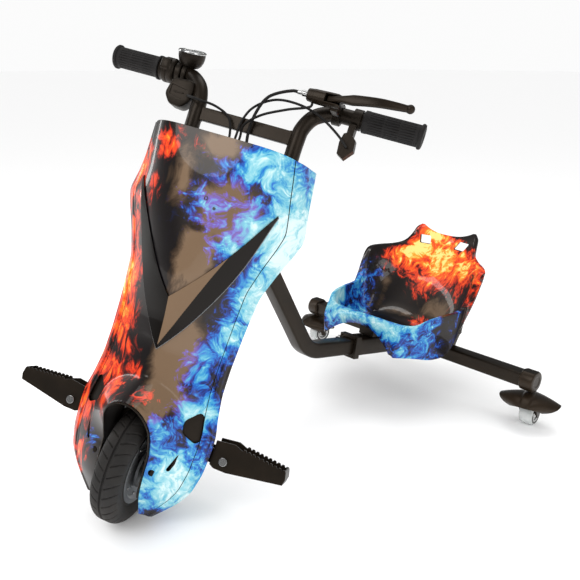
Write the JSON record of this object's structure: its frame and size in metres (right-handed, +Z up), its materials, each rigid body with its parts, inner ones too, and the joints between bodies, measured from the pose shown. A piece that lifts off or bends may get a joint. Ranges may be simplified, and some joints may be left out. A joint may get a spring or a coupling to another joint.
{
  "type": "drift trike",
  "caption": "Child's electric drift trike: front hub wheel in a tall faired fork, bent tube frame, bucket seat and twin rear casters.",
  "frame": {"origin": "centre of the bounding box on the floor", "axes": "+Z up, -Y forwards, +X to the trike's own left; the front fork stands turned 31 degrees to the left"},
  "size_m": [0.7274, 0.9844, 0.7424],
  "materials": {
    "black_paint": "satin black paint",
    "black_plastic": "satin black moulding",
    "black_rubber": "matt black rubber",
    "tyre_rubber": "matt black tyre rubber",
    "gloss_black": "gloss black",
    "fire_shell": "gloss, flame pattern on black",
    "ice_shell": "gloss, blue and ice pattern",
    "bright_steel": "bright plated",
    "motor_silver": "cast aluminium",
    "clear_wheel": "clear polyurethane",
    "lens_clear": "clear lens",
    "red_button": "red button",
    "battery_blue": "blue shrink sleeve"
  },
  "bodies": {
    "frame": {"main_frame": "black_paint", "bearing_cup_lower": "bright_steel", "bearing_cup_upper": "bright_steel"},
    "rear": {"rear_frame": "black_paint", "clamp_collar": "black_paint", "clamp_bolt": "bright_steel", "seat_shell": "fire_shell", "seat_bracket": "black_paint", "seat_stay_left": "black_paint", "seat_stay_right": "black_paint", "end_cap_left": "black_plastic", "end_cap_right": "black_plastic"},
    "steering": {"fork": "black_paint", "axle": "bright_steel", "brake_plate": "motor_silver", "front_shell": "fire_shell", "rear_shell": "ice_shell", "v_insert": "gloss_black", "wheel_well": "black_plastic", "battery": "battery_blue", "controller": "motor_silver", "handlebar": "black_paint", "grip_left": "black_rubber", "lever_bracket": "black_paint", "lever_adjuster": "bright_steel", "switch_box": "black_plastic", "throttle_housing": "black_plastic", "gauge_bowl": "black_plastic", "gauge_lens": "lens_clear", "gauge_bezel": "bright_steel", "control_box": "black_plastic", "brake_cable": "black_rubber", "lever_wire": "black_rubber", "switch_cable": "black_rubber", "control_cable": "black_rubber", "motor_cable": "black_rubber", "peg_bracket_left": "black_paint", "peg_bracket_right": "black_paint", "peg_pin_left": "bright_steel", "peg_pin_right": "bright_steel"},
    "front_wheel": {"front_tyre": "tyre_rubber", "hub_motor": "motor_silver"},
    "brake_lever": {"brake_lever": "black_paint"},
    "throttle": {"throttle_grip": "black_rubber"},
    "peg_left": {"foot_peg_left": "black_paint"},
    "peg_right": {"foot_peg_right": "black_paint"},
    "caster_left": {"caster_fork_left": "black_paint", "caster_fender_left": "black_plastic"},
    "caster_right": {"caster_fork_right": "black_paint", "caster_fender_right": "black_plastic"},
    "caster_wheel_left": {"caster_tyre_left": "clear_wheel", "caster_core_left": "bright_steel"},
    "caster_wheel_right": {"caster_tyre_right": "clear_wheel", "caster_core_right": "bright_steel"},
    "mode_button": {"mode_button": "red_button"},
    "power_button": {"power_button": "red_button"}
  },
  "joints": [
    {"name": "length_adjust", "type": "slide", "parent": "frame", "child": "rear", "axis": [0, 0.9815, -0.1912], "range_m": [-0.02, 0.06]},
    {"name": "steer", "type": "hinge", "parent": "frame", "child": "steering", "pos_m": [0, -0.15995, 0.50093], "axis": [0, 0.4226, 0.9063], "range_deg": [-76, 14]},
    {"name": "front_wheel_spin", "type": "hinge", "parent": "steering", "child": "front_wheel", "pos_m": [0.02801, -0.39887, 0.09887], "axis": [0.8572, 0.4668, -0.2177], "continuous": true},
    {"name": "brake_lever_pull", "type": "hinge", "parent": "steering", "child": "brake_lever", "pos_m": [0.1468, -0.08134, 0.65957], "axis": [0, 0.4226, 0.9063], "range_deg": [0, 12], "stiffness_Nm_per_rad": 0.6, "springref_deg": -5.73},
    {"name": "throttle_twist", "type": "hinge", "parent": "steering", "child": "throttle", "pos_m": [-0.1481, -0.1916, 0.70436], "axis": [-0.8572, -0.4668, 0.2177], "range_deg": [0, 60], "stiffness_Nm_per_rad": 0.15, "springref_deg": -11.46},
    {"name": "peg_fold_left", "type": "hinge", "parent": "steering", "child": "peg_left", "pos_m": [0.13846, -0.29219, 0.11021], "axis": [0.515, -0.7769, 0.3623], "range_deg": [0, 90]},
    {"name": "peg_fold_right", "type": "hinge", "parent": "steering", "child": "peg_right", "pos_m": [-0.10498, -0.42476, 0.17202], "axis": [-0.515, 0.7769, -0.3623], "range_deg": [0, 90]},
    {"name": "mode_press", "type": "slide", "parent": "steering", "child": "mode_button", "axis": [0.515, -0.7769, 0.3623], "range_m": [0, 0.0015], "stiffness_N_per_m": 600, "springref_m": -0.0005},
    {"name": "power_press", "type": "slide", "parent": "steering", "child": "power_button", "axis": [0.515, -0.7769, 0.3623], "range_m": [0, 0.0015], "stiffness_N_per_m": 600, "springref_m": -0.0005},
    {"name": "caster_swivel_left", "type": "hinge", "parent": "rear", "child": "caster_left", "pos_m": [0.304, 0.37109, 0.06], "axis": [0, 0, 1], "continuous": true},
    {"name": "caster_spin_left", "type": "hinge", "parent": "caster_left", "child": "caster_wheel_left", "pos_m": [0.30254, 0.38502, 0.025], "axis": [0.9945, 0.1045, 0], "continuous": true},
    {"name": "caster_swivel_right", "type": "hinge", "parent": "rear", "child": "caster_right", "pos_m": [-0.304, 0.37109, 0.06], "axis": [0, 0, 1], "continuous": true},
    {"name": "caster_spin_right", "type": "hinge", "parent": "caster_right", "child": "caster_wheel_right", "pos_m": [-0.30254, 0.38502, 0.025], "axis": [0.9945, -0.1045, 0], "continuous": true}
  ]
}
